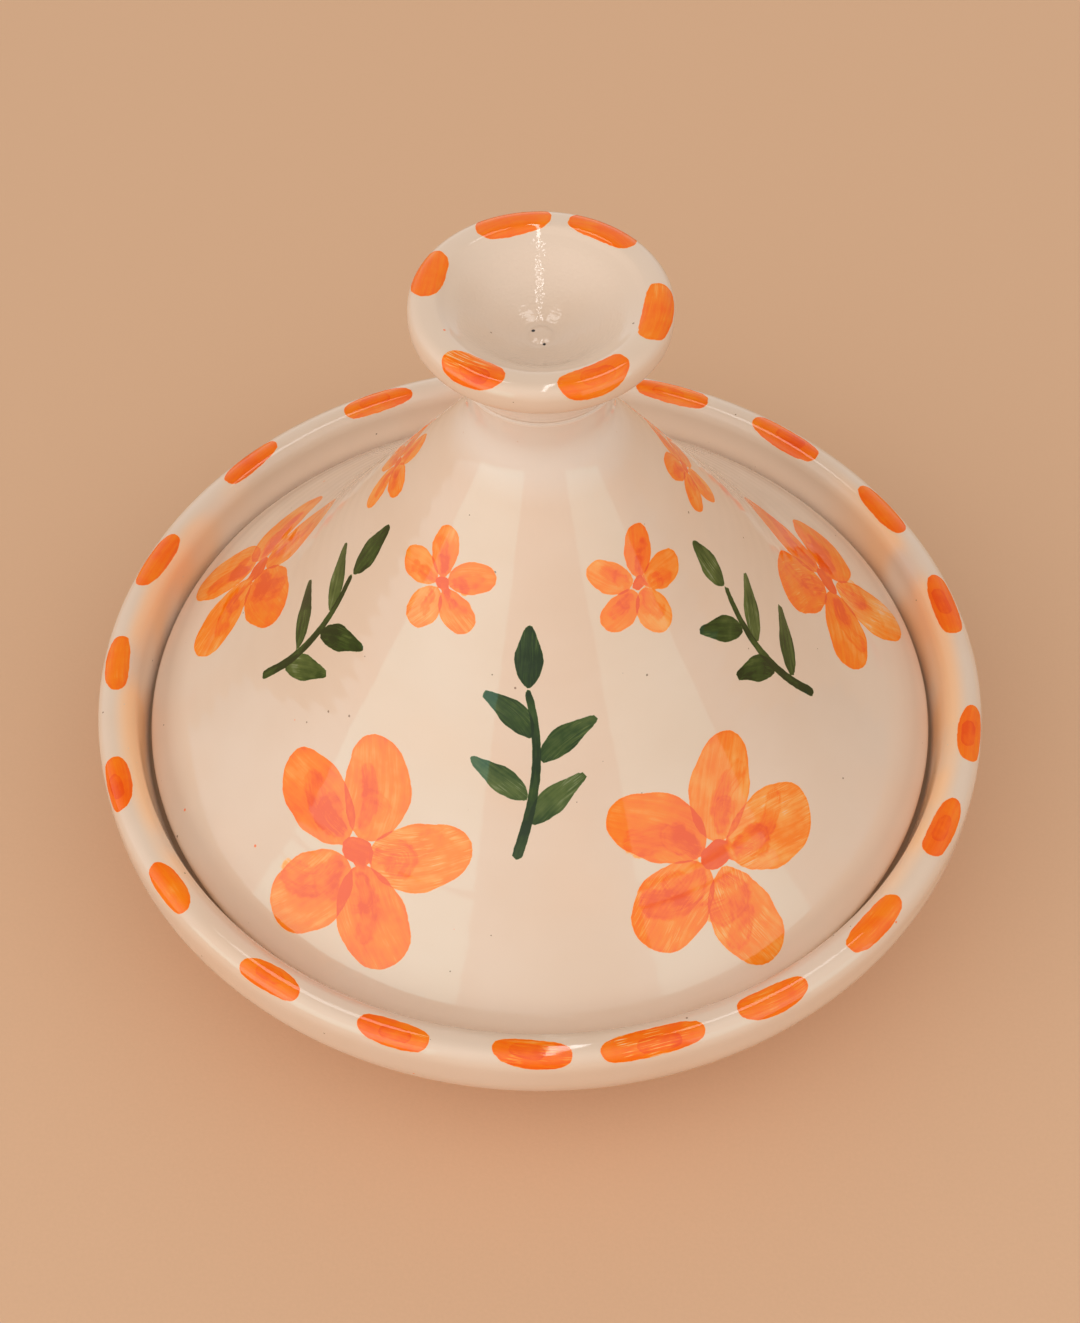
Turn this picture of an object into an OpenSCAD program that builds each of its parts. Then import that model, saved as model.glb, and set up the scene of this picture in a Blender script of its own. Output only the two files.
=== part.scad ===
// Tagine: a shallow glazed dish with a gallery inside its rim, and a tall conical lid
// that rests on the gallery and ends in a cup-shaped knob.
// Every piece is thrown, so each one is a profile turned about the Z axis.
// Z = 0 is the surface that the foot ring stands on.

/* [Dish] */
// Diameter over the dish's rim
rim_d = 280; // [240:1:340]
// Height of the dish, to the top of its rim
dish_h = 64.5; // [54:0.5:80]
// Radius of the rim's round, half of the rim's thickness
lip_r = 5.7; // [4.5:0.1:7]
// Depth of the shoulder below the top of the rim
shoulder_drop = 16; // [14:0.5:20]
// Radius of the shoulder
shoulder_r = 20.5; // [12:0.5:24]
// Angle of the wall under the shoulder, from upright
shoulder_a = 29; // [20:1:34]
// Depth of the belly below the top of the rim
belly_drop = 31.5; // [29:0.5:36]
// Radius of the belly
belly_r = 48; // [30:1:60]
// Thickness of the dish's wall
dish_wall = 9; // [7:0.5:11]
// Thickness of the dish's floor
floor_t = 8.5; // [7:0.5:12]
// Radius between the floor and the wall, inside
bowl_r = 33; // [12:1:40]
// Radius between the wall and the gallery's step, inside
step_r = 18; // [8:1:20]

/* [Foot ring] */
// Outer diameter of the foot ring
foot_d = 192; // [150:1:200]
// Height of the foot ring
foot_h = 5; // [3:0.5:8]
// Width of the foot ring
foot_w = 10; // [7:0.5:14]
// Round on the foot ring's edges
foot_round = 1.8; // [0.8:0.1:2.4]
// How much each side of the foot ring tapers
foot_taper = 1; // [0.4:0.1:2]
// Width of the step between the foot ring and the wall
foot_step = 2.6; // [1:0.1:5]

/* [Gallery] */
// Depth of the gallery below the top of the rim
gallery_drop = 17.5; // [14:0.5:22]
// Width of the gallery
gallery_w = 11; // [9:0.5:14]
// How far the gallery's wall leans out, from the gallery to the rim
gallery_lean = 3.2; // [1:0.1:4]
// Round on the gallery's inner edge
gallery_round = 2; // [0.8:0.1:2.5]
// Width of the slope below the gallery's inner edge
gallery_slope = 1; // [0.4:0.1:2]

/* [Lid] */
// Height of the whole pot, to the top of the knob
pot_h = 229.5; // [190:0.5:290]
// Clearance between the lid's edge and the gallery's wall
lid_gap = 1.2; // [0.8:0.1:3]
// Thickness of the lid's wall
lid_wall = 7.5; // [6:0.5:9]
// Height of the lid's upright edge
edge_h = 4.5; // [3.5:0.1:6]
// Round on the lid's edge
edge_round = 1.6; // [1:0.1:2.2]
// Height of the knee, where the skirt turns up into the cone
knee_h = 45.7; // [35:0.1:60]
// Angle of the lid's skirt, from upright
skirt_a = 45; // [40:1:50]
// Radius of the knee
knee_r = 150; // [80:5:160]
// Radius of the knee, inside
knee_in_r = 130; // [60:5:140]
// Radius where the cone runs into the neck's bore, inside
bore_round = 15; // [5:1:20]

/* [Neck and knob] */
// Diameter of the neck at its waist
neck_d = 39; // [34:1:46]
// Radius of the waist
waist_r = 22; // [12:1:26]
// Height of the neck, from its waist to the joint under the knob
neck_h = 17.4; // [15:0.1:22]
// Diameter of the neck's collar, at the joint
collar_d = 44.6; // [42:0.1:50]
// Thickness of the neck's wall
neck_wall = 6.5; // [5:0.5:8]
// Diameter of the knob's cup
knob_d = 72.4; // [64:0.2:84]
// Height of the knob, from the joint to its top
knob_h = 26.1; // [23:0.1:34]
// Height of the knob's foot, where the underside of the cup begins
knob_foot_h = 5.6; // [4:0.1:8]
// How much the knob's foot widens over that height
knob_foot_flare = 1.4; // [0.5:0.1:3]
// Radius between the knob's foot and the underside of the cup
knob_foot_round = 12; // [4:1:14]
// Depth of the knob's outer edge, under its round top
knob_edge = 8; // [7:0.1:10]
// Width of the knob's rim
knob_rim = 9.6; // [8.6:0.1:11]
// Round at the knob's widest point
knob_side_round = 3.5; // [2:0.1:4]
// Round on the outer side of the knob's rim
knob_outer_round = 4.5; // [3:0.1:5]
// Round on the inner side of the knob's rim
knob_inner_round = 4; // [3:0.1:5]
// Depth of the knob's cup
cup_depth = 14.5; // [10:0.1:16]
// Diameter at which the cup's side turns into its floor
cup_turn_d = 28; // [22:1:36]
// Height of that turn above the cup's lowest point
cup_turn_h = 3; // [2:0.1:5]
// Radius of that turn
cup_turn_r = 22; // [10:1:24]
// Diameter of the button in the middle of the cup
button_d = 5.4; // [4:0.1:7]
// Height of the button
button_h = 0.7; // [0.4:0.1:1.2]
// Width of the button's sloping side
button_side = 1; // [0.5:0.1:1.5]
// Round on the button's top edge
button_round = 0.4; // [0.2:0.1:0.6]
// Step in from the collar to the foot of the knob
joint_step = 0.4; // [0:0.1:1.5]
// Round on both edges of the joint
joint_round = 0.6; // [0.4:0.1:1.4]

/* [Hidden] */
$fn = 180;

glaze = [0.90, 0.82, 0.73];
// Number of straight steps in each rounded corner
steps = 12;
// Most of a side that one rounded corner may take
side_share = 0.495;
// Small round left by the potter's sponge where two surfaces meet
sponged = 1;

// Rim, gallery and lid edge, each from the one before
rim_r = rim_d / 2;
gallery_z = dish_h - gallery_drop;
gallery_r = rim_r - 2 * lip_r - gallery_lean;
gallery_in = gallery_r - gallery_w;
lid_r = gallery_r - lid_gap;

// Outside of the dish: shoulder, belly and the point where the belly meets the foot ring
shoulder_z = dish_h - shoulder_drop;
belly_z = dish_h - belly_drop;
belly_x = rim_r - (shoulder_z - belly_z) * tan(shoulder_a);
foot_r = foot_d / 2;
belly = [belly_x, belly_z];
foot_top = [foot_r + foot_step, foot_h];
foot_in = foot_r - foot_w;

// Inside of the dish: a line dish_wall in from the belly, cut by the floor and the gallery
floor_z = foot_h + floor_t;
wall_dir = (belly - foot_top) / norm(belly - foot_top);
wall_in = foot_top + dish_wall * [-wall_dir.y, wall_dir.x];
floor_x = wall_in.x + (floor_z - wall_in.y) * wall_dir.x / wall_dir.y;
bowl_x = gallery_in - gallery_slope;
bowl_z = wall_in.y + (bowl_x - wall_in.x) * wall_dir.y / wall_dir.x;

// Lid: knee, waist and joint
edge_z = gallery_z + edge_h;
knee_z = gallery_z + knee_h;
knee_x = lid_r - (knee_z - edge_z) * tan(skirt_a);
joint_z = pot_h - knob_h;
waist_z = joint_z - neck_h;
neck_x = neck_d / 2;
collar_r = collar_d / 2;
bore_r = neck_x - neck_wall;

// Inside of the lid: its two lines are lid_wall in from the skirt and from the cone
skirt_slope = tan(skirt_a);
cone_slope = (knee_x - neck_x) / (waist_z - knee_z);
skirt_shift = lid_wall * sqrt(1 + skirt_slope * skirt_slope);
cone_shift = lid_wall * sqrt(1 + cone_slope * cone_slope);
seat_in = lid_r + edge_h * skirt_slope - skirt_shift;
knee_in_z = knee_z - (skirt_shift - cone_shift) / (skirt_slope - cone_slope);
knee_in_x = knee_x + (knee_z - knee_in_z) * skirt_slope - skirt_shift;
bore_z = knee_z + (knee_x - cone_shift - bore_r) / cone_slope;

// Knob
knob_r = knob_d / 2;
knob_foot_r = collar_r - joint_step;
cup_z = pot_h - cup_depth;
button_r = button_d / 2;

function unit(v) = v / norm(v);
function flat(p) = [p.x, p.y];
function turn(a) = a > 180 ? a - 360 : a < -180 ? a + 360 : a;

// The points of corner b, between a and c, rounded to radius r. A round takes less than
// half of each side that it joins, so that two rounds never meet
function rounded(a, b, c, r) =
    r == 0 ? [b] :
    let (
        u = unit(a - b),
        v = unit(c - b),
        half = acos(u * v) / 2,
        cut = min(r / tan(half), side_share * min(norm(a - b), norm(c - b))),
        fit_r = cut * tan(half),
        centre = b + unit(u + v) * fit_r / sin(half),
        from = b + u * cut - centre,
        to = b + v * cut - centre,
        start = atan2(from.y, from.x),
        sweep = turn(atan2(to.y, to.x) - start)
    )
    [for (i = [0:steps]) let (a = start + sweep * i / steps) centre + fit_r * [cos(a), sin(a)]];

// Turns an outline about Z. Each corner is [radius from the axis, height, radius of its round]
module turned(corners) {
    last = len(corners) - 1;
    outline = [
        for (i = [0:last])
            each rounded(
                flat(corners[i == 0 ? last : i - 1]),
                flat(corners[i]),
                flat(corners[i == last ? 0 : i + 1]),
                corners[i].z
            )
    ];
    rotate_extrude() polygon(outline);
}

module base_dish() {
    color(glaze) turned([
        [0, foot_h, 0],
        [foot_in, foot_h, foot_round],
        [foot_in + foot_taper, 0, foot_round],
        [foot_r - foot_taper, 0, foot_round],
        [foot_r, foot_h, sponged],
        [foot_top.x, foot_top.y, sponged],
        [belly.x, belly.y, belly_r],
        [rim_r, shoulder_z, shoulder_r],
        [rim_r, dish_h, lip_r],
        [rim_r - 2 * lip_r, dish_h, lip_r],
        [gallery_r, gallery_z, sponged],
        [gallery_in, gallery_z, gallery_round],
        [bowl_x, bowl_z, step_r],
        [floor_x, floor_z, bowl_r],
        [0, floor_z, 0]
    ]);
}

module lid_cone() {
    color(glaze) turned([
        [bore_r, joint_z, 0],
        [bore_r, bore_z, bore_round],
        [knee_in_x, knee_in_z, knee_in_r],
        [seat_in, gallery_z, sponged],
        [lid_r, gallery_z, edge_round],
        [lid_r, edge_z, edge_round],
        [knee_x, knee_z, knee_r],
        [neck_x, waist_z, waist_r],
        [collar_r, joint_z, joint_round]
    ]);
}

module lid_knob() {
    color(glaze) turned([
        [0, joint_z, 0],
        [knob_foot_r, joint_z, joint_round],
        [knob_foot_r + knob_foot_flare, joint_z + knob_foot_h, knob_foot_round],
        [knob_r, pot_h - knob_edge, knob_side_round],
        [knob_r, pot_h, knob_outer_round],
        [knob_r - knob_rim, pot_h, knob_inner_round],
        [cup_turn_d / 2, cup_z + cup_turn_h, cup_turn_r],
        [button_r + button_side, cup_z, sponged],
        [button_r, cup_z + button_h, button_round],
        [0, cup_z + button_h, 0]
    ]);
}

base_dish();
lid_cone();
lid_knob();
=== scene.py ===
"""Looks of the glazed tagine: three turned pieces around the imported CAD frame, with brushed ornament under a
glaze.

Lengths are in metres unless a name ends in _mm or _MM. Azimuths are in degrees about Z: 270 faces the camera
and 0 is to its right. Each turned piece takes its outline from the CAD node that it stands for."""

import math

import bmesh
import bpy
import numpy as np
from mathutils import Matrix, Vector


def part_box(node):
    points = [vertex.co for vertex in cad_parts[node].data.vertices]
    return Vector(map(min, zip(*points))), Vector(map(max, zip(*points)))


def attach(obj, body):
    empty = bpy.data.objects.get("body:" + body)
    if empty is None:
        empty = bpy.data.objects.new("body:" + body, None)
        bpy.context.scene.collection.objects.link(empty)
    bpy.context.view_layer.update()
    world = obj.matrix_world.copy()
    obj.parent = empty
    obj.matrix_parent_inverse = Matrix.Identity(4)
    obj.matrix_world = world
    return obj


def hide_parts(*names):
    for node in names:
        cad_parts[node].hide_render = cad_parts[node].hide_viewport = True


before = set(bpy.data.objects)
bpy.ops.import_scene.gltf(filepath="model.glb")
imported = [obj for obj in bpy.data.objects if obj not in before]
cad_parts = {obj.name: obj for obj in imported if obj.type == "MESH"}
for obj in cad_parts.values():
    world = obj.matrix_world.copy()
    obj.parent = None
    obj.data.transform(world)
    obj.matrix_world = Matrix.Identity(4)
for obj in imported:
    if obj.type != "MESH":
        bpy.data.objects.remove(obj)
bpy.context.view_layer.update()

MM = 0.001
SEED = 7

# ---------------------------------------------------------------- node helper


class Nodes:
    """Short calls that add to a node tree. A value is a socket or a number."""

    def __init__(self, tree):
        self.tree = tree

    def node(self, kind, **settings):
        made = self.tree.nodes.new(kind)
        for key, value in settings.items():
            setattr(made, key, value)
        return made

    def feed(self, socket, value):
        """Links a socket, or sets a number, vector or colour."""
        if isinstance(value, bpy.types.NodeSocket):
            self.tree.links.new(value, socket)
        elif isinstance(value, tuple) and len(value) == 3 and len(socket.default_value) == 4:
            socket.default_value = (*value, 1)
        else:
            socket.default_value = value

    def math(self, operation, a, b=0.0):
        made = self.node("ShaderNodeMath", operation=operation)
        self.feed(made.inputs[0], a)
        self.feed(made.inputs[1], b)
        return made.outputs[0]

    def add(self, a, b):
        return self.math("ADD", a, b)

    def mul(self, a, b):
        return self.math("MULTIPLY", a, b)

    def total(self, *values):
        made = values[0]
        for value in values[1:]:
            made = self.add(made, value)
        return made

    def length(self, x, y):
        return self.math("SQRT", self.add(self.mul(x, x), self.mul(y, y)))

    def dot(self, a, b):
        made = self.node("ShaderNodeVectorMath", operation="DOT_PRODUCT")
        self.feed(made.inputs[0], a)
        self.feed(made.inputs[1], b)
        return made.outputs["Value"]

    def smooth(self, value, start, end):
        """0 at start and before, 1 at end and beyond."""
        made = self.node("ShaderNodeMapRange", interpolation_type="SMOOTHSTEP")
        self.feed(made.inputs["Value"], value)
        low, high = min(start, end), max(start, end)
        made.inputs["From Min"].default_value = low
        made.inputs["From Max"].default_value = high
        made.inputs["To Min"].default_value = 0.0 if start < end else 1.0
        made.inputs["To Max"].default_value = 1.0 if start < end else 0.0
        return made.outputs["Result"]

    def band(self, value, clear_below, full_from, full_to, clear_above):
        """1 between full_from and full_to, and 0 outside the two clear limits."""
        rise = self.smooth(value, clear_below, full_from)
        fall = self.smooth(value, clear_above, full_to)
        return self.mul(rise, fall)

    def noise(self, where, size, detail=2.0, roughness=0.5):
        """Soft patches about as large as size, in the units of where."""
        made = self.node("ShaderNodeTexNoise")
        self.feed(made.inputs["Vector"], where)
        made.inputs["Scale"].default_value = 1 / size
        made.inputs["Detail"].default_value = detail
        made.inputs["Roughness"].default_value = roughness
        return made.outputs["Fac"]

    def cells(self, where, size):
        """Distance to the nearest of scattered points, and a colour that differs from point to point."""
        made = self.node("ShaderNodeTexVoronoi")
        self.feed(made.inputs["Vector"], where)
        made.inputs["Scale"].default_value = 1 / size
        return made.outputs["Distance"], made.outputs["Color"]

    def mix(self, share, a, b):
        made = self.node("ShaderNodeMix", data_type="RGBA")
        self.feed(made.inputs["Factor"], share)
        self.feed(made.inputs[6], a)
        self.feed(made.inputs[7], b)
        return made.outputs[2]

    def ramp(self, value, stops):
        made = self.node("ShaderNodeValToRGB")
        self.feed(made.inputs["Fac"], value)
        elements = made.color_ramp.elements
        while len(elements) < len(stops):
            elements.new(0.5)
        for element, (position, colour) in zip(elements, stops, strict=True):
            element.position = position
            element.color = (*colour, 1)
        return made.outputs["Color"]

    def split(self, vector):
        made = self.node("ShaderNodeSeparateXYZ")
        self.feed(made.inputs[0], vector)
        return made.outputs

    def join(self, x, y, z):
        made = self.node("ShaderNodeCombineXYZ")
        for socket, value in zip(made.inputs, (x, y, z), strict=True):
            self.feed(socket, value)
        return made.outputs[0]

    def coordinates(self, kind):
        return self.node("ShaderNodeTexCoord").outputs[kind]

    def attribute(self, name):
        return self.node("ShaderNodeAttribute", attribute_name=name).outputs["Vector"]

    def bump(self, height, distance, normal=None):
        made = self.node("ShaderNodeBump")
        made.inputs["Distance"].default_value = distance
        self.feed(made.inputs["Height"], height)
        if normal is not None:
            self.feed(made.inputs["Normal"], normal)
        return made.outputs["Normal"]

    def surface(self, colour, roughness, normal, **constants):
        """Feeds the material's shader. constants are numbers for its other sockets."""
        inputs = self.tree.nodes["Principled BSDF"].inputs
        self.feed(inputs["Base Color"], colour)
        self.feed(inputs["Roughness"], roughness)
        self.feed(inputs["Normal"], normal)
        for name, value in constants.items():
            inputs[name.replace("_", " ")].default_value = value


def new_material(name):
    material = bpy.data.materials.new(name)
    material.use_nodes = True
    return material, Nodes(material.node_tree)


# ---------------------------------------------------------------- camera, light and floor

CAMERA_AT = (0.0, -0.51755, 0.72598)
CAMERA_DOWN = 0.90156  # radians below the horizon
CAMERA_ROLL = 0.00289
LENS_MM = 72.13
SENSOR_MM = 36.0
VIEW_END = 20.0  # how far the camera sees

SKY_COLOUR = (1.0, 0.985, 0.97, 1)
SKY_LEVEL = 0.03
GLOW_FALL = 4.0  # how quickly a glow fades away from its middle
# Azimuth, elevation and strength of each glow
SKY_GLOWS = [
    (270, 60, 0.60),
    (225, 30, 1.40),
    (315, 30, 0.86),
    (180, 5, 1.10),
    (0, 45, 0.45),
    (0, 5, 0.25),
    (90, 5, 1.45),
]

PANEL_AWAY = 1.6  # distance of the two window panels
POT_MIDDLE = 0.1  # height from which the elevation of a panel's top is taken
# Name, azimuth it faces, azimuths of its two sides, elevation of its top, radiance and colour
WINDOWS = [
    ("window_left", 250, 194, 250, 30.5, 1.5, (0.32, 1.0, 0.94)),
    ("window_right", 290, 300, 341, 29.5, 1.2, (0.36, 1.0, 0.94)),
]
STRIP_AT = (0.035, -0.13, 1.3)
STRIP_WIDTH = 0.035
STRIP_LENGTH = 1.26
STRIP_RADIANCE = 11
LAMP_AZIMUTHS = (48, 127)
LAMP_ELEVATION = 70
LAMP_AWAY = 2.0
LAMP_WIDTH = 0.45
LAMP_RADIANCE = 3.2
LAMP_COLOUR = (1.0, 0.99, 0.98)

FLOOR_HALF = 9.0
# The front colour is lighter than the back one: painted light
FLOOR_FRONT_LIT = (0.760, 0.470, 0.290)
FLOOR_BACK = (0.680, 0.420, 0.258)
FLOOR_FADE = (-0.30, 0.45)  # where along Y the lighter front colour, which is painted light, starts to give way, and where it's gone
FLOOR_GRAIN = 1.2 * MM


def place_camera():
    data = bpy.data.cameras.new("camera")
    data.lens = LENS_MM
    data.sensor_width = SENSOR_MM
    data.clip_end = VIEW_END
    camera = bpy.data.objects.new("camera", data)
    bpy.context.scene.collection.objects.link(camera)
    tilt = Matrix.Rotation(math.pi / 2 - CAMERA_DOWN, 4, "X")
    roll = Matrix.Rotation(CAMERA_ROLL, 4, "Z")
    camera.matrix_world = Matrix.Translation(CAMERA_AT) @ tilt @ roll
    bpy.context.scene.camera = camera


def area_light(name, at, towards, width, height, radiance, colour, shape="RECTANGLE"):
    """A flat soft light. Radiance 1 is as bright as a white surface in full light."""
    data = bpy.data.lights.new(name, "AREA")
    data.shape = shape
    data.size = width
    data.size_y = height
    data.energy = radiance * math.pi * width * height
    data.color = colour
    lamp = bpy.data.objects.new(name, data)
    bpy.context.scene.collection.objects.link(lamp)
    lamp.location = at
    lamp.rotation_euler = (Vector(towards) - Vector(at)).to_track_quat("-Z", "Y").to_euler()
    return lamp


def window_panel(name, faces, start, end, top, radiance, colour):
    """An upright panel that stands on the floor, at right angles to azimuth `faces`, and spans azimuths start
    to end. Its top edge is at elevation `top` where it is nearest."""
    facing = math.radians(faces)
    out = Vector((math.cos(facing), math.sin(facing), 0))
    along = Vector((-math.sin(facing), math.cos(facing), 0))
    left, right = (PANEL_AWAY * math.tan(math.radians(side - faces)) for side in (start, end))
    height = PANEL_AWAY * math.tan(math.radians(top)) + POT_MIDDLE
    at = out * PANEL_AWAY + along * (left + right) / 2 + Vector((0, 0, height / 2))
    return area_light(name, at, at - out, right - left, height, radiance, colour)


def direction(azimuth, elevation):
    """The unit vector towards an azimuth and elevation in degrees."""
    a, e = math.radians(azimuth), math.radians(elevation)
    return Vector((math.cos(a) * math.cos(e), math.sin(a) * math.cos(e), math.sin(e)))


def sky():
    """A dim world with a few broad, soft glows in it."""
    world = bpy.data.worlds.new("studio")
    world.use_nodes = True
    n = Nodes(world.node_tree)
    towards = n.coordinates("Generated")
    level = SKY_LEVEL
    for azimuth, elevation, strength in SKY_GLOWS:
        facing = n.math("MAXIMUM", n.dot(towards, direction(azimuth, elevation)), 0.0)
        level = n.add(n.mul(n.math("POWER", facing, GLOW_FALL), strength), level)
    background = world.node_tree.nodes["Background"]
    n.feed(background.inputs["Color"], SKY_COLOUR)
    n.feed(background.inputs["Strength"], level)
    bpy.context.scene.world = world


def light_scene():
    """The sky lights the pot. The windows, the strip and the two lamps only show as reflections in its
    glaze."""
    sky()
    mirrored = [window_panel(*window) for window in WINDOWS]
    below = (STRIP_AT[0], STRIP_AT[1], 0)
    mirrored.append(
        area_light("strip", STRIP_AT, below, STRIP_WIDTH, STRIP_LENGTH, STRIP_RADIANCE, LAMP_COLOUR)
    )
    for azimuth in LAMP_AZIMUTHS:
        at = direction(azimuth, LAMP_ELEVATION) * LAMP_AWAY
        mirrored.append(
            area_light("lamp", at, (0, 0, 0), LAMP_WIDTH, LAMP_WIDTH, LAMP_RADIANCE, LAMP_COLOUR, "DISK")
        )
    for light in mirrored:
        light.visible_diffuse = False


def floor():
    """A plain matt floor, a little lighter in front than behind: painted light, for more light falling on the
    front.
    """
    mesh = bpy.data.meshes.new("floor")
    h = FLOOR_HALF
    mesh.from_pydata([(-h, -h, 0), (h, -h, 0), (h, h, 0), (-h, h, 0)], [], [(0, 1, 2, 3)])
    ground = bpy.data.objects.new("floor", mesh)
    bpy.context.scene.collection.objects.link(ground)
    material, n = new_material("floor")
    where = n.coordinates("Object")
    grain = n.noise(where, FLOOR_GRAIN)
    y = n.split(where)["Y"]
    tint = n.mix(n.smooth(y, *FLOOR_FADE), FLOOR_FRONT_LIT, FLOOR_BACK)
    tint = n.mix(n.mul(grain, 0.5), tint, FLOOR_BACK)
    n.surface(tint, 0.85, n.bump(grain, 0.03 * MM), Specular_IOR_Level=0.0)
    mesh.materials.append(material)


# ---------------------------------------------------------------- turned pieces

SAME = 1e-6  # points nearer than this are one point
FINE = 0.25 * MM  # spacing at which an outline is smoothed
LONGEST_STEP = 2.1 * MM  # spacing of rings where the outline is straight
SHORTEST_STEP = 0.7 * MM
STEP_TURN = 0.16  # radians that the outline may turn from ring to ring

# The knob's cup, where thick glaze evens out the curve: the change starts at the rim's crest and is whole
# this far along, and it fades out between these two radii round the button
MELT_FADE = 4 * MM
MELT_RADII = (7 * MM, 12 * MM)


def section(node):
    """The CAD node's outline in the half plane x > 0, as ordered points [radius, height], and whether it's
    closed."""
    bm = bmesh.new()
    bm.from_mesh(node.data)
    bmesh.ops.remove_doubles(bm, verts=bm.verts, dist=SAME)
    for normal in ((1, 0, 0), (0, 1, 0)):
        everything = [*bm.verts, *bm.edges, *bm.faces]
        cut = bmesh.ops.bisect_plane(bm, geom=everything, dist=1e-7, plane_co=(0, 0, 0), plane_no=normal)
    near = {}
    for edge in cut["geom_cut"]:
        if isinstance(edge, bmesh.types.BMEdge) and edge.verts[0].co.x + edge.verts[1].co.x > SAME:
            a, b = edge.verts
            near.setdefault(a, []).append(b)
            near.setdefault(b, []).append(a)
    ends = [v for v in near if len(near[v]) == 1]
    start = max(ends or near, key=lambda v: v.co.z)
    path, last = [start], None
    while True:
        onward = [v for v in near[path[-1]] if v is not last and v is not path[0]]
        if not onward or (len(path) > 2 and path[0] in near[path[-1]] and onward[0] in path):
            break
        last = path[-1]
        path.append(onward[0])
    points = np.array([(v.co.x, v.co.z) for v in path])
    bm.free()
    return points, not ends


def signed_area(points):
    x, y = points.T
    return 0.5 * np.sum(x * np.roll(y, -1) - y * np.roll(x, -1))


def ease(value, start, end):
    """0 at start, 1 at end, and smooth between."""
    t = np.clip((value - start) / (end - start), 0, 1)
    return t * t * (3 - 2 * t)


def fine_outline(points, closed):
    """The outline at FINE spacing, clockwise. An open one starts on the axis at the top and ends on it
    below."""
    if signed_area(points) > 0:
        points = points[::-1]
    if closed:
        points = np.vstack([points, points[:1]])
    along = np.r_[0, np.cumsum(np.hypot(*np.diff(points, axis=0).T))]
    count = int(along[-1] / FINE)
    at = np.linspace(0, along[-1], count, endpoint=not closed)
    return np.stack([np.interp(at, along, points[:, i]) for i in (0, 1)], axis=1)


def softened(fine, closed, reach_mm):
    """A fine outline with its corners rounded, as glaze rounds them."""
    soften = reach_mm * MM
    reach = int(4 * soften / FINE)
    weights = np.exp(-0.5 * (np.arange(-reach, reach + 1) * FINE / soften) ** 2)
    weights /= weights.sum()
    if closed:
        padded = np.vstack([fine[-reach:], fine, fine[:reach]])
    else:
        mirror = np.array([-1, 1])
        padded = np.vstack([fine[reach:0:-1] * mirror, fine, fine[-2:-reach - 2:-1] * mirror])
    return np.stack([np.convolve(padded[:, i], weights, "valid") for i in (0, 1)], axis=1)


def melted(fine, reach_mm):
    """The outline with the side of the knob's cup evened out. The button keeps its shape."""
    crest = np.argmax(fine[:, 1])
    before_crest = (crest - np.arange(len(fine))) * FINE
    share = ease(before_crest, 0, MELT_FADE) * ease(fine[:, 0], *MELT_RADII)
    return fine + (softened(fine, False, reach_mm) - fine) * share[:, None]


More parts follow.
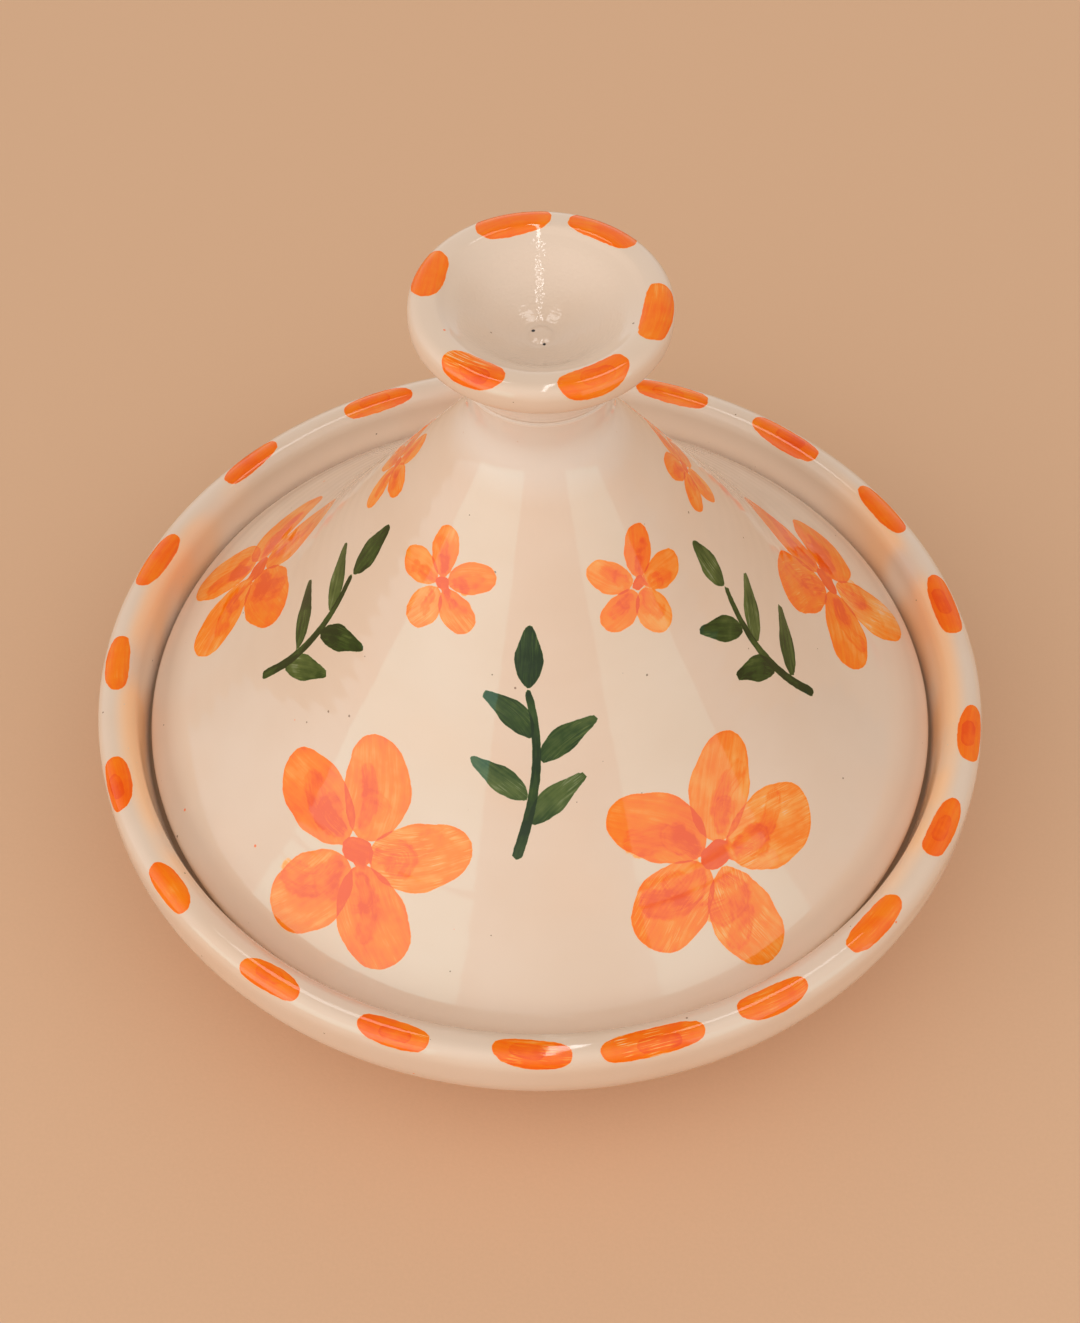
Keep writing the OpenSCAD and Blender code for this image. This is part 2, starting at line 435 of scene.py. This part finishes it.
class Turned:
    """A piece turned about Z: its outline as rings, its mesh, and where each vertex is on the surface.

    Along the outline, the dish and the knob run from the axis through the inside, over the rim, and down the
    outside to the axis. The lid's outline is closed: it runs down the outside and back up the inside."""

    def __init__(self, name, node_name, segments, soften_mm, melt_mm=0):
        self.name, self.node_name, self.segments = name, node_name, segments
        points, self.closed = section(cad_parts[node_name])
        fine = softened(fine_outline(points, self.closed), self.closed, soften_mm)
        if melt_mm:
            fine = melted(fine, melt_mm)
        self.place_rings(fine)
        angles = np.arange(segments) * 2 * math.pi / segments
        self.azimuth = np.tile(angles, len(self.arc))
        self.ring = np.repeat(np.arange(len(self.arc)), segments)
        self.radius, self.height = self.outline[self.ring].T
        self.along = self.arc[self.ring]
        self.layers = {}

    def place_rings(self, fine):
        """Picks the rings' places on a fine outline, closer together where it bends."""
        slope = np.gradient(fine, axis=0).T
        step = np.hypot(*slope)
        heading = np.unwrap(np.arctan2(*slope[::-1]))
        bend = np.abs(np.gradient(heading)) / step
        spacing = np.clip(STEP_TURN / np.maximum(bend, 1e-3), SHORTEST_STEP, LONGEST_STEP)
        spread = np.cumsum(step / spacing)
        wanted = np.linspace(spread[0], spread[-1], int(spread[-1]), endpoint=not self.closed)
        self.arc = np.interp(wanted, spread, np.cumsum(step))
        self.outline = np.stack([np.interp(wanted, spread, fine[:, i]) for i in (0, 1)], axis=1)
        turn = np.interp(wanted, spread, heading)
        self.normal = np.stack([-np.sin(turn), np.cos(turn)], axis=1)
        if not self.closed:
            self.outline[[0, -1], 0] = 0

    def arc_at(self, radius, height):
        """Distance along the outline of its point nearest to a radius and height."""
        return self.arc[np.argmin(np.hypot(*(self.outline - (radius, height)).T))]

    def build(self, out):
        """Makes the object. out is how far each vertex stands out from the outline."""
        normal = self.normal[self.ring]
        radius = self.radius + out * normal[:, 0]
        height = self.height + out * normal[:, 1]
        places = np.stack([radius * np.cos(self.azimuth), radius * np.sin(self.azimuth), height], axis=1)
        mesh = bpy.data.meshes.new(self.name)
        mesh.from_pydata(places.tolist(), [], self.faces().tolist())
        for name, values in self.layers.items():
            made = mesh.attributes.new(name, "FLOAT_VECTOR", "POINT")
            made.data.foreach_set("vector", values.astype(np.float32).ravel())
        bm = bmesh.new()
        bm.from_mesh(mesh)
        on_axis = [v for v in bm.verts if v.co.xy.length < SAME]
        bmesh.ops.remove_doubles(bm, verts=on_axis, dist=10 * SAME)
        bm.to_mesh(mesh)
        bm.free()
        mesh.polygons.foreach_set("use_smooth", np.ones(len(mesh.polygons), bool))
        made = bpy.data.objects.new(self.name, mesh)
        bpy.context.scene.collection.objects.link(made)
        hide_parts(self.node_name)
        return made

    def faces(self):
        index = np.arange(len(self.azimuth)).reshape(-1, self.segments)
        lower = np.roll(index, -1, axis=0) if self.closed else index[1:]
        upper = index if self.closed else index[:-1]
        corners = [upper, lower, np.roll(lower, -1, axis=1), np.roll(upper, -1, axis=1)]
        return np.stack(corners, axis=-1).reshape(-1, 4)


# ---------------------------------------------------------------- brush strokes

FAR_MM = 99.0
CURVE_POINTS = 14  # on a bent stroke
STROKE_MARGIN_MM = 4  # how far beside a stroke its distance is still worked out
BRUSH_SEEDS = 7  # strokes this many degrees apart have the same streaks
WASHES = ("wash_a", "wash_b", "wash_c")
WET = ("wet_a", "wet_b")
LEAVES = ("leaf_a", "leaf_b")


def clear_layers(piece):
    """Gives a piece its empty layers: where each vertex is on its stroke, and the brush that laid it."""
    count = len(piece.azimuth)
    for layer in WASHES + WET + LEAVES:
        piece.layers[layer] = np.tile([FAR_MM, 0.0, 0.0], (count, 1))
        piece.layers[layer + "_brush"] = np.zeros((count, 3))


def stroke(piece, layer, centre, path_mm, widths_mm, load, dry=0.0):
    """Lays one brush stroke. centre is (azimuth in degrees, distance along the outline), path_mm the points
    of its middle line about that centre as (around, up the outside), and widths_mm its half width at each
    of them. load is how much colour the brush carries, and dry how far its hairs leave gaps, both from 0
    to 1."""
    azimuth, arc = centre
    turn = (np.degrees(piece.azimuth) - azimuth + 180) % 360 - 180
    x = np.radians(turn) * piece.radius / MM
    y = (arc - piece.along) / MM
    path = np.array(path_mm, float)
    reach = np.abs(path).max() + max(widths_mm) + STROKE_MARGIN_MM
    near = np.nonzero((np.abs(x) < reach) & (np.abs(y) < reach))[0]
    points = np.stack([x[near], y[near]], axis=1)
    steps = np.diff(path, axis=0)
    lengths = np.hypot(*steps.T)
    before = np.r_[0, np.cumsum(lengths)]
    half = np.array(widths_mm, float)
    best = np.full(len(near), FAR_MM)
    along, across = np.zeros(len(near)), np.zeros(len(near))
    for i, step in enumerate(steps):
        away = points - path[i]
        t = np.clip(away @ step / lengths[i] ** 2, 0, 1)
        gap = away - t[:, None] * step
        distance = np.hypot(*gap.T) - (half[i] + t * (half[i + 1] - half[i]))
        side = (away @ np.array([-step[1], step[0]])) / lengths[i]
        closer = distance < best
        best = np.where(closer, distance, best)
        along = np.where(closer, before[i] + away @ step / lengths[i], along)
        across = np.where(closer, side, across)
    place = piece.layers[layer]
    won = best < place[near, 0]
    place[near[won]] = np.stack([best, along, across], axis=1)[won]
    piece.layers[layer + "_brush"][near[won]] = (load, dry, azimuth % BRUSH_SEEDS)


def curve_points(start, bend, end):
    """Points of a smooth bent line from start to end, which leans towards bend."""
    t = np.linspace(0, 1, CURVE_POINTS)[:, None]
    a, b, c = (np.array(v, float) for v in (start, bend, end))
    return (1 - t) ** 2 * a + 2 * t * (1 - t) * b + t**2 * c


def swell(start, widest, end, peak):
    """Half widths along a stroke that swells to `widest` at share `peak` of its length."""
    shares = [0, peak * 0.5, peak, 1]
    halves = [start, (start + widest) * 0.62, widest, end]
    return np.interp(np.linspace(0, 1, CURVE_POINTS), shares, halves)


# Dabs on the rim: azimuth, length in mm, where on the lip its middle sits, in degrees up from the outside,
# and how dry the brush was
RIM_DABS = [
    (13, 25, 83, 0.1), (32, 24, 92, 0), (51, 27, 105, 0), (70, 26, 105, 0.3), (93, 24, 100, 0),
    (115, 25, 102, 0.2), (137, 24, 92, 0.1), (159, 24, 82, 0), (178, 22, 84, 0), (198, 20, 66, 0),
    (216, 20, 68, 0), (235, 21, 66, 0), (252, 22, 71, 0.2), (269, 23, 70, 0.8), (284, 31, 66, 1),
    (300, 23, 69, 0.5), (317, 24, 72, 0.4), (335, 23, 72, 0), (351, 22, 68, 0),
]
LIP_R = 5.7 * MM  # radius of the rim's round, as the CAD has it
RIM_DAB_HALF_MM = 4.3

# Dabs on the knob: azimuth, length in mm, distance in from the knob's edge in mm, half width in mm, and how
# dry the brush was
KNOB_DABS = [
    (105, 22, 4.3, 6.4, 0), (57, 21, 3.2, 5.9, 0.1), (164, 18.5, 4.1, 5.2, 0), (350, 22, 4.2, 4.7, 0.3),
    (237, 18.5, 3.6, 5.2, 1), (296, 21, 2.8, 5.2, 0.5),
]

# Ranges that the dabs vary over
DAB_ENDS = (0.62, 0.84)  # width near an end, as a share of the middle's
DAB_LEAN_MM = (-0.9, 0.9)
DAB_BOW_MM = (-0.8, 0.8)
DAB_LOAD = (0.56, 0.68)
DAB_SIZE = (0.95, 1.1)
SECOND_TOUCH = 0.6  # share of the dabs that the brush touches twice
TOUCH_ASIDE_MM = (-1.2, 1.2)
TOUCH_LOAD = (0.10, 0.20)


def paint_dab(piece, centre, length, half, dry, random):
    """One dab: a fat blunt stroke of the brush, a little uneven from end to end, and often a second touch."""
    ends = random.uniform(*DAB_ENDS, 2)
    lean = random.uniform(*DAB_LEAN_MM)
    run = length / 2 - half * ends.mean()
    t = np.linspace(-1, 1, 9)
    path = np.stack([t * run, lean * t + random.uniform(*DAB_BOW_MM) * (t * t - 0.3)], axis=1)
    taper = np.where(t < 0, ends[0], ends[1])
    widths = half * (taper + (1 - taper) * (1 - t * t) ** 0.7)
    stroke(piece, "wash_a", centre, path, widths, random.uniform(*DAB_LOAD), dry)
    if random.uniform() < SECOND_TOUCH:
        side = random.choice([-1, 1])
        pool = path[2:6] * (side, 1) + (0, random.uniform(*TOUCH_ASIDE_MM))
        stroke(piece, "wash_b", centre, pool, widths[2:6] * 0.5, random.uniform(*TOUCH_LOAD))


def paint_rim(dish, random):
    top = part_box("base_dish")[1]
    for azimuth, length, lip_angle, dry in RIM_DABS:
        angle = math.radians(lip_angle)
        arc = dish.arc_at(top.x - LIP_R + LIP_R * math.cos(angle), top.z - LIP_R + LIP_R * math.sin(angle))
        half = RIM_DAB_HALF_MM * random.uniform(*DAB_SIZE)
        paint_dab(dish, (azimuth, arc), length, half, dry, random)


def paint_knob(knob, random):
    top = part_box("lid_knob")[1]
    for azimuth, length, inset, half, dry in KNOB_DABS:
        arc = knob.arc_at(top.x - inset * MM, top.z)
        paint_dab(knob, (azimuth, arc), length, half, dry, random)


BLOSSOMS = 5
FIRST_BLOSSOM = 18
BLOSSOM_Z = 80 * MM
SPRIG_Z = 112 * MM
SMALL_Z = 150 * MM
LARGE = 1.0
SMALL = 0.46
# One layer for each petal, so that petals that touch are in different layers
PETAL_LAYERS = ("wash_a", "wash_b", "wash_a", "wash_b", "wash_c")
PETAL_TURN = (-4, 4)
PETAL_NEAR_MM = 7  # where a petal starts, from the blossom's middle
PETAL_FAR_MM = (25, 28)
PETAL_BEND_MM = (-4, 4)
PETAL_HALF_MM = (10.4, 11.8)
PETAL_LOAD = (0.30, 0.58)
PETAL_DRY = (0, 0.5)
PETAL_PEAK = 0.7  # where along it a petal is widest
WET_REACHES = (0.55, 0.9)  # how far out on a petal each wet stroke ends
WET_ASIDE_MM = (-7, 7)
WET_HALF_MM = (2.4, 4.6)
WET_LOAD = (0.10, 0.34)
WET_DRY = 0.3
EYE_LOAD = 0.95

STEM_LEAN_MM = (-5, 5)
STEM_LOAD = 0.8
# Share of the stem's length and side of each leaf
SPRIG_LEAVES = ((0.16, 1), (0.36, -1), (0.56, 1), (0.76, -1), (1.0, 0))
LEAF_MM = (18, 22)
LEAF_TURN = (46, 60)
LEAF_BEND_MM = (1, 3)
LEAF_LOAD = (0.45, 0.9)
LEAF_DRY = 0.5


def paint_blossom(lid, centre, size, random):
    """Five broad petals round a small eye, each with wetter, denser strokes laid into it."""
    gap = 360 / len(PETAL_LAYERS)
    first = random.uniform(0, gap)
    for k, layer in enumerate(PETAL_LAYERS):
        angle = math.radians(first + k * gap + random.uniform(*PETAL_TURN))
        out = np.array([math.cos(angle), math.sin(angle)]) * size
        side = np.array([-out[1], out[0]])
        far = random.uniform(*PETAL_FAR_MM)
        bend = out * far * 0.6 + side * random.uniform(*PETAL_BEND_MM)
        path = curve_points(out * PETAL_NEAR_MM, bend, out * far)
        wide = random.uniform(*PETAL_HALF_MM) * size
        widths = swell(3.0 * size, wide, wide * 0.86, PETAL_PEAK)
        load = random.uniform(*PETAL_LOAD)
        stroke(lid, layer, centre, path, widths, load, random.uniform(*PETAL_DRY))
        for wet, reach in zip(WET, WET_REACHES, strict=True):
            drift = side * random.uniform(*WET_ASIDE_MM)
            over = curve_points(out * 8 + drift * 0.2, out * 17 - drift * 0.5, out * far * reach + drift)
            half = random.uniform(*WET_HALF_MM) * size
            widths = swell(half * 0.6, half, half, PETAL_PEAK)
            stroke(lid, wet, centre, over, widths, random.uniform(*WET_LOAD), WET_DRY)
    eye = [(-1.5 * size, 0), (1.5 * size, 0.5)]
    stroke(lid, "wash_c", centre, eye, [3.6 * size, 3.9 * size], EYE_LOAD)


def paint_sprig(lid, centre, random):
    """A bent stem with five brushed leaves."""
    lean = random.uniform(*STEM_LEAN_MM)
    stem = curve_points((-lean, -27), (lean * 1.5, 0), (-lean * 0.4, 22))
    stroke(lid, "leaf_a", centre, stem, np.linspace(1.5, 1.0, len(stem)), STEM_LOAD)
    for share, side in SPRIG_LEAVES:
        at = stem[int(share * (len(stem) - 1))]
        length = random.uniform(*LEAF_MM)
        angle = math.radians(90 - side * random.uniform(*LEAF_TURN))
        out = np.array([math.cos(angle), math.sin(angle)])
        bend = np.array([-out[1], out[0]]) * side * random.uniform(*LEAF_BEND_MM)
        leaf = curve_points(at + out * 2.5, at + out * length * 0.5 + bend, at + out * length)
        widths = swell(1.1, 4.3, 1.5, peak=0.5)
        stroke(lid, "leaf_b", centre, leaf, widths, random.uniform(*LEAF_LOAD), LEAF_DRY)


def outside_arcs(lid, heights):
    """Distances along the lid's outline of the points of its outside at some heights."""
    low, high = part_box("lid_cone")
    outer = lid.arc < lid.arc_at(high.x, low.z)
    return [lid.arc[outer][np.argmin(np.abs(lid.outline[outer, 1] - z))] for z in heights]


def paint_lid(lid, random):
    large, small, sprig = outside_arcs(lid, (BLOSSOM_Z, SMALL_Z, SPRIG_Z))
    gap = 360 / BLOSSOMS
    for k in range(BLOSSOMS):
        azimuth = FIRST_BLOSSOM + k * gap
        paint_blossom(lid, (azimuth + random.uniform(-3, 3), large), LARGE, random)
        paint_blossom(lid, (azimuth + random.uniform(-4, 4), small), SMALL, random)
        paint_sprig(lid, (azimuth + gap / 2 + random.uniform(-3, 3), sprig), random)


# ---------------------------------------------------------------- glaze

CREAM = (0.77, 0.59, 0.45)
CREAM_DEEP = (0.75, 0.56, 0.415)
# Lighter colours for bands on the gallery's wall, the skirt's foot and the neck: painted light against the
# shade that falls there
PALE_PAINTED_LIGHT = (0.96, 0.77, 0.61)
NECK_PAINTED_LIGHT = (0.82, 0.71, 0.61)
PEACH = (0.84, 0.52, 0.32)
BLUSH = (0.97, 0.58, 0.32)
SPECK = (0.20, 0.11, 0.06)
# Near black for the pinholes: painted shade for the hollow of each hole
PINHOLE_SHADE = (0.02, 0.012, 0.008)
BARE_CLAY = (0.62, 0.42, 0.27)
# Painted shade: the colour that darkens the gap between lid and dish
SEAM_SHADE = (0.54, 0.36, 0.23)
# Colours of the paint, from a thin wash to a thick one
ORANGE = [
    (0.0, (0.93, 0.50, 0.19)),
    (0.22, (0.95, 0.36, 0.06)),
    (0.45, (0.95, 0.22, 0.002)),
    (0.7, (0.94, 0.145, 0.0)),
    (1.0, (0.86, 0.085, 0.0)),
]
GREEN = [
    (0.0, (0.24, 0.28, 0.14)),
    (0.35, (0.095, 0.135, 0.028)),
    (0.7, (0.030, 0.064, 0.007)),
    (1.0, (0.010, 0.028, 0.002)),
]
# Specks in the glaze: their spacing, the size of the largest as a share of it, and their colour
SPECKS = [
    (6.2 * MM, 0.062, SPECK),
    (12 * MM, 0.045, ORANGE[3][1]),
    (3.1 * MM, 0.085, CREAM_DEEP),
]
PINHOLES = [(-2.1, 1.0, 0.5), (0.9, -3.7, 0.42)]  # beside the button: x, y and radius, in mm
PINHOLE_HEIGHTS = (210 * MM, 212 * MM)  # below the first there are none
GROOVE_PITCH = 0.9 * MM  # of the fine grooves turned in the knob's cup
CUP_EDGE = (26 * MM, 23 * MM)  # the grooves start between these radii

SHADER_IOR = 1.5
SPECULAR = 0.4
GLOSS = 0.03  # roughness of the smoothest glaze
GLOSS_SPREAD = 0.04
JOINT_DULLER = 0.40
BARE_DULLER = 0.6

EDGE_GRAIN = 2.6 * MM  # size of the ragged spots at a stroke's edge
WASH_PATCH = 12 * MM  # size of the patches where the colour is thicker
DRY_PATCH = 8 * MM  # size of the patches where a dry brush leaves gaps
LEAST_COLOUR = 0.08
WET_BLUR_MM = 0.8

# Sizes of patches, dents and grain in the glaze, and how deep the dents are
CLOUD = 45 * MM
PEACH_PATCH = 60 * MM
BLUSH_PATCH = 30 * MM
GLOSS_PATCH = 5 * MM
DENT = 16 * MM
DENT_DEPTH = 0.10 * MM
PEEL = 2.2 * MM
PEEL_DEPTH = 0.008 * MM
RIPPLE = 1.3 * MM
RIPPLE_DEPTH = 0.10 * MM
CLAY_GRAIN = 1.5 * MM

PEACH_MOST = 0.15
GROOVE_SHADE = 0.30  # how far the joint's groove is darkened towards the bare clay colour, as painted shade
SEAM_BLUR = 0.8 * MM
PAINTED_LIGHT_EDGE = (130 * MM, 127.5 * MM)  # a band of painted light ends between these radii
BLUSH_EDGE = (135.5 * MM, 130 * MM)  # the blush on the gallery's wall starts between these radii
BLUSH_FOOT = (45 * MM, 50 * MM)  # and between these heights
BLUSH_SIDES = (92 * MM, 116 * MM)  # and, left and right of the middle, between these distances


def laid_colour(n, layer, where, ragged_mm, streaks, blur_mm=0.13):
    """How much colour a layer of strokes leaves: ragged at its edge, pooled just inside it, streaked along
    its run. blur_mm is how softly its edge fades."""
    outside, along, across = n.split(n.attribute(layer))
    load, dryness, chance = n.split(n.attribute(layer + "_brush"))
    rough_edge = n.noise(where, EDGE_GRAIN, 3)
    edge = n.add(outside, n.mul(n.add(rough_edge, -0.5), 2 * ragged_mm))
    inside = n.smooth(edge, blur_mm, -blur_mm)
    streak = n.noise(n.join(n.mul(along, 0.07), n.mul(across, 0.85), chance), 1.0, 3, 0.6)
    hairs = n.noise(n.join(n.mul(along, 0.10), n.mul(across, 2.2), chance), 1.0, 2, 0.6)
    wash = n.noise(where, WASH_PATCH, 3, 0.6)
    pool = n.smooth(edge, -1.0, -0.2)
    patches = n.smooth(n.noise(where, DRY_PATCH, 1), 0.44, 0.60)
    dry = n.mul(n.mul(n.smooth(hairs, 0.50, 0.60), patches), dryness)
    streaked = n.mul(n.add(streak, -0.5), streaks)
    washed = n.mul(n.add(wash, -0.5), streaks * 1.6)
    amount = n.total(load, n.add(streaked, washed), n.mul(pool, 0.09), n.mul(dry, -0.5))
    return n.mul(inside, n.math("MAXIMUM", amount, LEAST_COLOUR))


def brushwork(n, where, body):
    """Orange washes, with wetter strokes in them, and green strokes."""
    washes = [laid_colour(n, layer, where, ragged_mm=0.35, streaks=0.5) for layer in WASHES]
    washes += [laid_colour(n, layer, where, ragged_mm=1.6, streaks=0.5, blur_mm=WET_BLUR_MM) for layer in WET]
    orange = n.total(*washes)
    body = n.mix(n.smooth(orange, 0.0, 0.14), body, n.ramp(orange, ORANGE))
    leaves = [laid_colour(n, layer, where, ragged_mm=0.25, streaks=0.85) for layer in LEAVES]
    green = n.total(*leaves)
    return n.mix(n.smooth(green, 0.0, 0.10), body, n.ramp(green, GREEN))


def specks(n, where, body):
    """Small brown and orange specks of iron and stray colour in the glaze."""
    for spacing, share, colour in SPECKS:
        near, chance = n.cells(where, spacing)
        size = n.mul(n.smooth(n.split(chance)[0], 0.45, 1.0), share)
        body = n.mix(n.mul(n.math("LESS_THAN", near, size), 0.8), body, colour)
    return body


def cream(n, where, out, pale_bands):
    """Cream glaze with soft clouds and a warm tint in places. It is lighter, as painted light, in each of
    pale_bands, which are four heights for Nodes.band and a colour."""
    z = n.split(where)["Z"]
    clouds = n.smooth(n.noise(where, CLOUD, 3), 0.35, 0.7)
    body = n.mix(clouds, CREAM, CREAM_DEEP)
    inner = n.smooth(out, *PAINTED_LIGHT_EDGE)
    # Painted light: each band is lighter where the gallery's wall, the skirt's foot and the neck lie in shade
    for *heights, colour in pale_bands:
        body = n.mix(n.mul(n.band(z, *heights), inner), body, colour)
    tint = n.mul(n.smooth(n.noise(where, PEACH_PATCH), 0.55, 0.72), PEACH_MOST)
    return n.mix(tint, body, PEACH)


def blushed(n, where, out, body):
    """The gallery's wall tinted in patches, on the left and on the right."""
    x, _, z = n.split(where)
    wall = n.mul(n.smooth(out, *BLUSH_EDGE), n.smooth(z, *BLUSH_FOOT))
    sides = n.smooth(n.math("ABSOLUTE", x), *BLUSH_SIDES)
    uneven = n.smooth(n.noise(where, BLUSH_PATCH, 1), 0.30, 0.60)
    return n.mix(n.mul(wall, n.mul(sides, uneven)), body, BLUSH)


# Dark spots at the pinholes beside the button: painted shade for the hollow of each hole
def pinholes(n, where, body):
    x, y, z = n.split(where)
    for hole_x, hole_y, size in PINHOLES:
        gap = n.length(n.add(x, -hole_x * MM), n.add(y, -hole_y * MM))
        hole = n.mul(n.smooth(gap, size * MM * 1.3, size * MM * 0.8), n.smooth(z, *PINHOLE_HEIGHTS))
        body = n.mix(hole, body, PINHOLE_SHADE)
    return body


def glazed(name, bare_below, pale_bands, seam=None, joint=None, blush_wall=False, cup=False):
    """Cream glaze over a pale body, with the brushwork under it and bare clay below the height bare_below.
    seam is the narrow seam, between two radii and two heights, darkened with a clay colour as painted
    shade. The slip of the joint is dull at its height, and its groove is darkened as painted shade. blush_wall
    tints the gallery's wall, and cup adds the knob's turned grooves and pinholes, dark with painted shade."""
    material, n = new_material(name)
    where = n.coordinates("Object")
    x, y, z = n.split(where)
    out = n.length(x, y)
    body = cream(n, where, out, pale_bands)
    if blush_wall:
        body = blushed(n, where, out, body)
    body = specks(n, where, body)
    body = brushwork(n, where, body)
    normal = n.bump(n.noise(where, DENT, 1), DENT_DEPTH)
    normal = n.bump(n.noise(where, PEEL), PEEL_DEPTH, normal)
    if cup:
        grooves = n.math("SINE", n.mul(out, 2 * math.pi / GROOVE_PITCH))
        ripple = n.add(n.mul(grooves, 0.05), n.noise(where, RIPPLE, 1))
        normal = n.bump(n.mul(ripple, n.smooth(out, *CUP_EDGE)), RIPPLE_DEPTH, normal)
        body = pinholes(n, where, body)
    roughness = n.add(GLOSS, n.mul(n.noise(where, GLOSS_PATCH, 3), GLOSS_SPREAD))
    if joint:
        dull = n.band(z, joint - 2.2 * MM, joint - 0.8 * MM, joint + 0.8 * MM, joint + 2.2 * MM)
        roughness = n.add(roughness, n.mul(dull, JOINT_DULLER))
        # Painted shade: the joint's groove darkened with the bare clay colour
        groove = n.band(z, joint - 0.9 * MM, joint, joint, joint + 0.9 * MM)
        body = n.mix(n.mul(groove, GROOVE_SHADE), body, BARE_CLAY)
    bare = n.smooth(z, bare_below + 0.5 * MM, bare_below)
    body = n.mix(bare, body, n.mix(n.noise(where, CLAY_GRAIN, 4), BARE_CLAY, CREAM_DEEP))
    # Painted shade: the gap between lid and dish is darkened
    if seam:
        radius_in, radius_out, low, top = seam
        ring = n.band(out, radius_in - SEAM_BLUR, radius_in, radius_out, radius_out + SEAM_BLUR)
        gap = n.mul(ring, n.band(z, low - 1 * MM, low, top - 1 * MM, top + 1 * MM))
        body = n.mix(gap, body, SEAM_SHADE)
    roughness = n.add(roughness, n.mul(bare, BARE_DULLER))
    n.surface(body, roughness, normal, IOR=SHADER_IOR, Specular_IOR_Level=SPECULAR)
    return material


# ---------------------------------------------------------------- the pot

WOBBLE = 0.12 * MM  # most that it takes away
RING_PITCH = 7 * MM
RING_DEPTH = 0.06 * MM  # up to the crest of an outline
RING_DEEPER = 0.16 * MM  # more than that, well past the crest
DEEPER_FROM = 10 * MM  # from the crest, along the outline
DEEPER_TO = 40 * MM
QUIET_AXIS = 12 * MM  # the marks fade out within this radius
QUIET_FLAT = (0.5 * MM, 5 * MM)  # and they begin and are whole this far above or below a flat face
LUTING = 0.3 * MM  # how far the slip in the joint under the knob stands out
LUTING_REACH = 1.3 * MM
LUTING_RADIUS = 18 * MM  # the slip is only outside this radius


def hand_thrown(piece, flat_heights, joint):
    """Throwing rings, which get deeper beyond the crest of the outline, and a slight wobble. Both only take
    clay away, and they fade out at the flat faces that rest on one another. Slip fills the groove round the
    joint under the knob."""
    wobble = WOBBLE * (1 - np.cos(2 * piece.azimuth + 0.7)) / 2
    crest = piece.arc[np.argmax(piece.outline[:, 1])]
    depth = RING_DEPTH + RING_DEEPER * ease(piece.along, crest + DEEPER_FROM, crest + DEEPER_TO)
    phase = 0.5 * np.sin(piece.azimuth + 1.1) + 0.3 * np.sin(2 * piece.azimuth)
    rings = depth * (1 - np.cos(2 * math.pi * piece.along / RING_PITCH + piece.azimuth + phase)) / 2
    quiet = np.ones(len(piece.along))
    for height in flat_heights:
        quiet = np.minimum(quiet, ease(np.abs(piece.height - height), *QUIET_FLAT))
    centre = ease(piece.radius, 0, QUIET_AXIS)
    near_joint = np.exp(-(((piece.height - joint) / LUTING_REACH) ** 2))
    slip = LUTING * near_joint * (piece.radius > LUTING_RADIUS)
    return slip - (wobble + rings) * quiet * centre


def make_piece(piece, body, out, **looks):
    """Builds and glazes a painted piece, and lets it ride on its body."""
    made = piece.build(out)
    slot = piece.name + "_glaze"
    made.data.materials.append(glazed(slot, **looks))
    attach(made, body)


def make_pot():
    random = np.random.default_rng(SEED)
    low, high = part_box("lid_cone")
    seat, edge = low.z, high.x
    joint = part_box("lid_knob")[0].z
    # Where the gap between lid and dish is darkened as painted shade: two radii and two heights
    seam = (edge, edge + 0.9 * MM, seat - 1 * MM, seat + 2.2 * MM)
    # Bands of painted light: on the gallery's wall, on the skirt's foot beside the seam, and round the neck
    wall = (seat - 1 * MM, seat + 1 * MM, seat + 4 * MM, seat + 15 * MM)
    skirt = (seat, seat + 2 * MM, seat + 4 * MM, seat + 10 * MM)
    neck = (joint - 30 * MM, joint - 16 * MM, joint + 4 * MM, joint + 9 * MM)

    dish = Turned("dish", "base_dish", 400, 0.45)
    clear_layers(dish)
    paint_rim(dish, random)
    make_piece(
        dish, "base", hand_thrown(dish, (0, seat), joint),
        bare_below=0.8 * MM, pale_bands=[(*wall, PALE_PAINTED_LIGHT)], seam=seam, blush_wall=True,
    )

    lid = Turned("lid", "lid_cone", 400, 0.35)
    clear_layers(lid)
    paint_lid(lid, random)
    make_piece(
        lid, "lid", hand_thrown(lid, (seat, joint), joint),
        bare_below=seat + 0.6 * MM, pale_bands=[(*skirt, PALE_PAINTED_LIGHT), (*neck, NECK_PAINTED_LIGHT)], seam=seam, joint=joint,
    )

    knob = Turned("knob", "lid_knob", 256, 0.35, melt_mm=4.2)
    clear_layers(knob)
    paint_knob(knob, random)
    make_piece(
        knob, "lid", hand_thrown(knob, (joint,), joint),
        bare_below=0, pale_bands=[(*neck, NECK_PAINTED_LIGHT)], joint=joint, cup=True,
    )


bpy.context.scene.view_settings.view_transform = "Standard"
place_camera()
light_scene()
floor()
make_pot()
